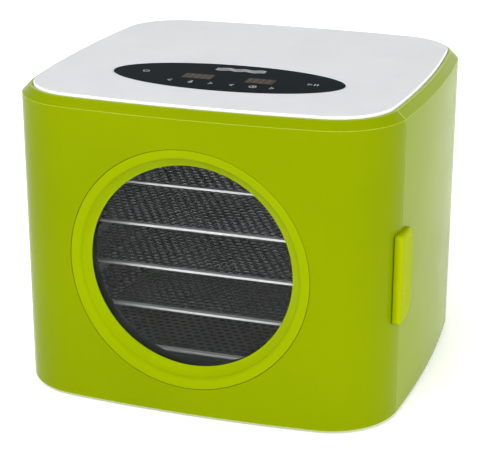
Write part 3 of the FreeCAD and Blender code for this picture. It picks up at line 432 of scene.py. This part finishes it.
# ---------------------------------------------------------------- mesh helpers
def add_piece(name, points, faces, material, body, smooth=True, replaced=()):
    mesh = bpy.data.meshes.new(name)
    mesh.from_pydata([tuple(point) for point in points], [], faces)
    mesh.update()
    return add_mesh(name, mesh, [material], body, smooth, replaced)


def add_mesh(name, mesh, materials, body, smooth=True, replaced=()):
    for material in materials:
        mesh.materials.append(material)
    for face in mesh.polygons:
        face.use_smooth = smooth
    piece = bpy.data.objects.new(name, mesh)
    bpy.context.scene.collection.objects.link(piece)
    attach(piece, body)
    if replaced:
        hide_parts(*replaced)
    return piece


def lathe(profile, around, steps):
    """Points and faces of a closed profile carried round a circle.

    around(turn, index) gives the place of a profile point at a turn.
    """
    count = len(profile)
    turns = [2 * math.pi * step / steps for step in range(steps)]
    points = [around(turn, index) for turn in turns for index in range(count)]
    faces = []
    for step in range(steps):
        here, after = step * count, (step + 1) % steps * count
        for index in range(count):
            following = (index + 1) % count
            faces.append((here + index, here + following, after + following, after + index))
    return points, faces


# ---------------------------------------------------------------- window ring
def window_ring():
    """The dished ring: it follows the bowed door at its rim and is flat at the opening.

    Each profile point is (radius, depth behind the surface it follows, share of the flat opening plane).
    """
    opening_y = GASKET_FRONT - 1.2 * MM
    outer, inner = RING_RADIUS, OPENING_RADIUS
    edge, shoulder = 0.6 * MM, RING_SHOULDER
    profile = [(outer, 4.0 * MM, 0.0), (outer, edge, 0.0)]
    for step in range(1, 6):                  # the softened rim beside the groove
        angle = math.pi * step / 10
        profile.append((outer - edge * (1 - math.cos(angle)), edge * (1 - math.sin(angle)), 0.0))
    for step in range(1, 9):                  # a nearly flat shoulder
        share = step / 8
        profile.append((outer - edge + (shoulder - outer + edge) * share, 0.0, RING_SLOPE * share))
    for step in range(1, 29):                 # a roll over the shoulder, then a concave cone
        share = step / 28
        radius = shoulder + (inner + 0.4 * MM - shoulder) * share
        fall = 1.25 * share - 0.25 * share ** 3 if share > 0.3 else 3.5 * share ** 2
        profile.append((radius, 0.0, RING_SLOPE + (1 - RING_SLOPE) * min(fall, 1.0)))
    profile += [(inner + 0.1 * MM, 0.15 * MM, 1.0), (inner, 0.6 * MM, 1.0), (inner, 1.2 * MM, 1.0),
                (outer - 8 * MM, 1.2 * MM, 1.0)]

    def around(turn, index):
        radius, depth, share = profile[index]
        x = radius * math.cos(turn)
        bowed = face_y(x) * (1 - share) + opening_y * share
        return Vector((x, bowed + depth, WINDOW_Z + radius * math.sin(turn)))

    points, faces = lathe(profile, around, 256)
    add_piece("window_ring_dished", points, faces, LIT_RING_GREEN, "door",
              replaced=["window_ring"])


# ---------------------------------------------------------------- trays
HOLE_PITCH = 8.0 * MM
HOLE_RADIUS = 2.9 * MM
SHEET = 0.6 * MM
SHEET_MARGIN = 4.5 * MM          # from the tray's edge to its first holes
BORDER = 8.5 * MM                # width of the unpunched border
BORDER_SHEET = 0.65 * MM         # the border hides the ragged edge of the punched sheet
HEM_DEPTH = 2.4 * MM
HEM_SHARE = 0.725                # height of the hem as a share of the tray's height


def perforated_sheet(low, high, z):
    """Hexagonal cells, each with a punched hole, filling a rectangle."""
    points, faces, index_of = [], [], {}
    reach = HOLE_PITCH / math.sqrt(3)
    row_step = HOLE_PITCH * math.sqrt(3) / 2
    top, under = z + SHEET, z

    def point(x, y, height):
        key = (round(x * 1e6), round(y * 1e6), round(height * 1e6))
        if key not in index_of:
            index_of[key] = len(points)
            points.append((x, y, height))
        return index_of[key]

    def cell(cx, cy):
        def spot(radius, angle, height):
            return point(cx + radius * math.cos(angle), cy + radius * math.sin(angle), height)

        turns = [math.radians(30 * step) for step in range(12)]
        rim_top = [spot(HOLE_RADIUS, turn, top) for turn in turns]
        rim_under = [spot(HOLE_RADIUS, turn, under) for turn in turns]
        for side in range(6):
            a, b = math.radians(30 + 60 * side), math.radians(90 + 60 * side)
            first, middle, last = [(1 + 2 * side + step) % 12 for step in range(3)]
            faces.append((spot(reach, a, top), spot(reach, b, top), rim_top[last], rim_top[middle],
                          rim_top[first]))
            faces.append((rim_under[first], rim_under[middle], rim_under[last], spot(reach, b, under),
                          spot(reach, a, under)))
        for step in range(12):
            after = (step + 1) % 12
            faces.append((rim_top[step], rim_top[after], rim_under[after], rim_under[step]))

    for row in range(int((high[1] - low[1] - 2 * reach) / row_step) + 1):
        shift = HOLE_PITCH / 2 * (row % 2)
        for column in range(int((high[0] - low[0] - HOLE_PITCH - shift) / HOLE_PITCH) + 1):
            cell(low[0] + HOLE_PITCH / 2 + shift + column * HOLE_PITCH, low[1] + reach + row * row_step)
    return points, faces


def rounded_loop(x0, x1, y0, y1, radius, steps=6):
    """Points round a rectangle with rounded corners, each with its outward direction."""
    loop = []
    corners = ((x1 - radius, y0 + radius, -90), (x1 - radius, y1 - radius, 0),
               (x0 + radius, y1 - radius, 90), (x0 + radius, y0 + radius, 180))
    for cx, cy, start in corners:
        for step in range(steps + 1):
            angle = math.radians(start + 90 * step / steps)
            way = Vector((math.cos(angle), math.sin(angle), 0))
            loop.append((Vector((cx, cy, 0)) + way * radius, way))
    return loop


def sweep_loop(loop, section, z):
    """A closed section, given as (outward, up) pairs, carried round a loop."""
    points = [spot + way * out + Vector((0, 0, z + up)) for spot, way in loop for out, up in section]
    count, turns = len(section), len(loop)
    faces = []
    for step in range(turns):
        here, after = step * count, (step + 1) % turns * count
        for index in range(count):
            following = (index + 1) % count
            faces.append((here + index, after + index, after + following, here + following))
    return points, faces


def tray(name):
    """A punched steel sheet with a flat border and an upright hem along its edge."""
    low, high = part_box(name)
    points, faces = perforated_sheet((low.x + SHEET_MARGIN, low.y + SHEET_MARGIN),
                                     (high.x - SHEET_MARGIN, high.y - SHEET_MARGIN), low.z)
    sheet_faces = len(faces)
    loop = rounded_loop(low.x, high.x, low.y, high.y, 5 * MM)
    height = high.z - low.z
    soft = 0.5 * MM
    back, lip = soft - HEM_DEPTH, HEM_SHARE * height - soft
    corners = ((-soft, soft, -90), (-soft, lip, 0), (back, lip, 90), (back, soft, 180))
    section = [(out + soft * math.cos(math.radians(start + 30 * step)),
                up + soft * math.sin(math.radians(start + 30 * step)))
               for out, up, start in corners for step in range(4)]
    border = [(-height / 2, 0.0), (-height / 2, BORDER_SHEET), (-BORDER, BORDER_SHEET), (-BORDER, 0.0)]
    for shape in (section, border):
        more_points, more_faces = sweep_loop(loop, shape, low.z)
        offset = len(points)
        points += [tuple(point) for point in more_points]
        faces += [tuple(offset + index for index in face) for face in more_faces]
    mesh = bpy.data.meshes.new(name + "_punched")
    mesh.from_pydata(points, [], faces)
    # the hem takes the lit copy of the steel (painted light), the sheet the darker copy (painted shade)
    piece = add_mesh(name + "_punched", mesh, [TRAY, LIT_HEM], name, False, [name])
    for face in mesh.polygons[sheet_faces:]:
        face.material_index = 1
        face.use_smooth = face.index < sheet_faces + len(loop) * len(section)
    return piece


# ---------------------------------------------------------------- door tab
def door_tab():
    """The finger tab: a flat pebble with rounded rear corners and softened edges."""
    low, high = GRIP_LOW, GRIP_HIGH
    body = bpy.data.meshes.new("door_tab")
    shape = bmesh.new()
    radius_front, radius_rear, steps = 3 * MM, 13 * MM, 12
    ring = []
    corners = ((high.y, high.z, radius_rear, 0), (low.y, high.z, radius_front, 90),
               (low.y, low.z, radius_front, 180), (high.y, low.z, radius_rear, 270))
    for cy, cz, radius, start in corners:
        middle = (cy - math.copysign(radius, cy - (low.y + high.y) / 2),
                  cz - math.copysign(radius, cz - (low.z + high.z) / 2))
        for step in range(steps + 1):
            angle = math.radians(start + 90 * step / steps)
            ring.append((middle[0] + radius * math.cos(angle), middle[1] + radius * math.sin(angle)))
    centre = ((low.y + high.y) / 2, (low.z + high.z) / 2)
    levels = [(low.x + 1.5 * MM, 0.0)]
    edge = 1.8 * MM
    for step in range(7):
        angle = math.radians(15 * step)
        levels.append((high.x - edge + edge * math.sin(angle), edge * (1 - math.cos(angle))))
    for share in (0.2, 0.45, 0.7, 1.0):
        levels.append((high.x - 0.5 * MM * share, edge + 13 * MM * share))
    rows = []
    for x, inset in levels:
        row = []
        for y, z in ring:
            span_y, span_z = (high.y - low.y) / 2, (high.z - low.z) / 2
            row.append(shape.verts.new((x, centre[0] + (y - centre[0]) * (1 - inset / span_y),
                                        centre[1] + (z - centre[1]) * (1 - inset / span_z))))
        rows.append(row)
    for lower, upper in zip(rows, rows[1:]):
        for index in range(len(ring)):
            after = (index + 1) % len(ring)
            shape.faces.new((lower[index], lower[after], upper[after], upper[index]))
    shape.faces.new(rows[-1])
    shape.faces.new(list(reversed(rows[0])))
    bmesh.ops.recalc_face_normals(shape, faces=shape.faces)
    shape.to_mesh(body)
    shape.free()
    return body


# ---------------------------------------------------------------- control panel print
RIM_LINE_INSET = 0.45            # mm inside the edge of the glass
DIGIT_SLANT = 0.06


def ribbon(points, width, closed=False):
    """A flat line of a set width along points in the panel's plane."""
    verts, faces = [], []
    count = len(points)
    for index, (x, y) in enumerate(points):
        before = points[index - 1] if index or closed else points[index]
        after = points[(index + 1) % count] if index < count - 1 or closed else points[index]
        way = Vector((after[0] - before[0], after[1] - before[1]))
        way = way.normalized() if way.length > 0 else Vector((1, 0))
        side = Vector((-way.y, way.x)) * width / 2
        verts += [(x + side.x, y + side.y), (x - side.x, y - side.y)]
    for index in range(count if closed else count - 1):
        a, b = 2 * index, 2 * ((index + 1) % count)
        faces.append((a, a + 1, b + 1, b))
    return verts, faces


def arc(cx, cy, radius, start, end, steps=20):
    return [(cx + radius * math.cos(math.radians(start + (end - start) * step / steps)),
             cy + radius * math.sin(math.radians(start + (end - start) * step / steps)))
            for step in range(steps + 1)]


def printed(name, strokes, x, y, scale=1.0, material=None, lift=0.09):
    """Strokes, each (points in mm, width in mm, closed), printed on the glass."""
    points, faces = [], []
    for line, width, closed in strokes:
        verts, quads = ribbon([(px * scale, py * scale) for px, py in line], width * scale, closed)
        offset = len(points)
        points += [PANEL + Vector(((x + px) * MM, (y + py) * MM, lift * MM)) for px, py in verts]
        faces += [tuple(offset + index for index in quad) for quad in quads]
    piece = add_piece(name, points, faces, material or INK, "housing", False)
    thick = piece.modifiers.new("thick", "SOLIDIFY")
    thick.thickness = 0.05 * MM
    thick.offset = 0
    return piece


def chevron(turn):
    return [([(1.6 * turn, 2.6), (-1.6 * turn, 0), (1.6 * turn, -2.6)], 0.8, False)]


def control_panel_print():
    power = [(arc(0, 0, 2.9, 125, 415, 24), 0.75, False), ([(0, 0.6), (0, 3.6)], 0.75, False)]
    printed("icon_power", power, -74, 1, 0.9)
    stem = [(-0.7, -0.8), (-0.7, 3.2), (0.7, 3.2), (0.7, -0.8)]
    thermometer = [(arc(0, -2, 1.5, 0, 360), 0.6, False), (stem, 0.5, False)]
    clock = [(arc(0, 0, 2.9, 0, 360, 28), 0.65, False), ([(0, 1.9), (0, 0), (1.3, -0.8)], 0.6, False)]
    row = [("lower_temperature", chevron(1), -44), ("thermometer", thermometer, -25),
           ("raise_temperature", chevron(-1), -7.5), ("shorten_time", chevron(1), 10.7),
           ("clock", clock, 29.4), ("lengthen_time", chevron(-1), 46)]
    for label, strokes, x in row:
        printed("icon_" + label, strokes, x, -21.8)
    play = [([(-4.2, 2.2), (-0.8, 0), (-4.2, -2.2), (-4.2, 2.2)], 0.6, False),
            ([(1.6, 2.2), (1.6, -2.2)], 0.9, False), ([(4.0, 2.2), (4.0, -2.2)], 0.9, False)]
    printed("icon_start_pause", play, 75, 0)
    waves = []
    for level in (-1, 0, 1):                  # a generic warm-air mark
        line = [(x, 1.1 * math.sin(x / 2.4 + 0.5 * level) + 3.2 * level) for x in range(-22, 23)]
        waves.append((line, 1.15, False))
    printed("mark_airflow", waves, 3, 27)
    for label, x0, x1 in (("temperature", -38, -12.5), ("timer", 18, 42)):
        frame_line = [(x0, -10), (x1, -10), (x1, 4.5), (x0, 4.5)]
        face = [([(x0, -2.75), (x1, -2.75)], 14.5, False)]
        printed("window_" + label, face, 0, 0, material=DISPLAY, lift=0.03)
        printed("window_edge_" + label, [(frame_line, 0.25, True)], 0, 0, material=DISPLAY_EDGE)
        segments(label, (x0 + x1) / 2, -2.7)
    half_x = (GLASS_HIGH.x - GLASS_LOW.x) / 2 / MM - RIM_LINE_INSET
    half_y = (GLASS_HIGH.y - GLASS_LOW.y) / 2 / MM - RIM_LINE_INSET
    turns = [math.radians(3 * step) for step in range(120)]
    edge = [(half_x * math.cos(turn), half_y * math.sin(turn)) for turn in turns]
    printed("panel_rim_line", [(edge, 0.7, True)], 0, 0, material=RIM_LINE)


def segments(label, x, y):
    """Three unlit seven-segment digits with slanted strokes, drawn as the dim display shows them."""
    strokes = []
    for cx in (-7.2, 0, 7.2):
        bars = [((-1.7, level), (1.7, level)) for level in (-4.6, 0, 4.6)]
        for low, high in ((-4.1, -0.6), (0.6, 4.1)):
            bars += [((side, low), (side, high)) for side in (-2.3, 2.3)]
        for bar in bars:
            strokes.append(([(cx + across + up * DIGIT_SLANT, up) for across, up in bar], 0.8, False))
    printed("digits_" + label, strokes, x, y, material=DIGITS)


# ---------------------------------------------------------------- floor
def add_floor():
    mesh = bpy.data.meshes.new("studio_floor")
    reach, back, height, bend = 3.0, 2.4, 2.2, 0.8
    profile = [(-reach, 0.0), (back - bend, 0.0)]
    turns = [math.radians(angle) for angle in range(10, 91, 10)]
    profile += [(back - bend + bend * math.sin(turn), bend - bend * math.cos(turn)) for turn in turns]
    profile.append((back, height))
    points = [(side * reach, y, z) for y, z in profile for side in (-1, 1)]
    faces = [(2 * i, 2 * i + 1, 2 * i + 3, 2 * i + 2) for i in range(len(profile) - 1)]
    mesh.from_pydata(points, [], faces)
    mesh.materials.append(pale_floor())
    for face in mesh.polygons:
        face.use_smooth = True
    floor = bpy.data.objects.new("studio_floor", mesh)
    bpy.context.scene.collection.objects.link(floor)


add_camera()
add_studio()
add_floor()
paint_cad_nodes()
window_ring()
for tray_name in TRAYS:
    tray(tray_name)
add_mesh("door_tab", door_tab(), [LIT_TAB_GREEN], "door", True, ["door_handle"])
control_panel_print()
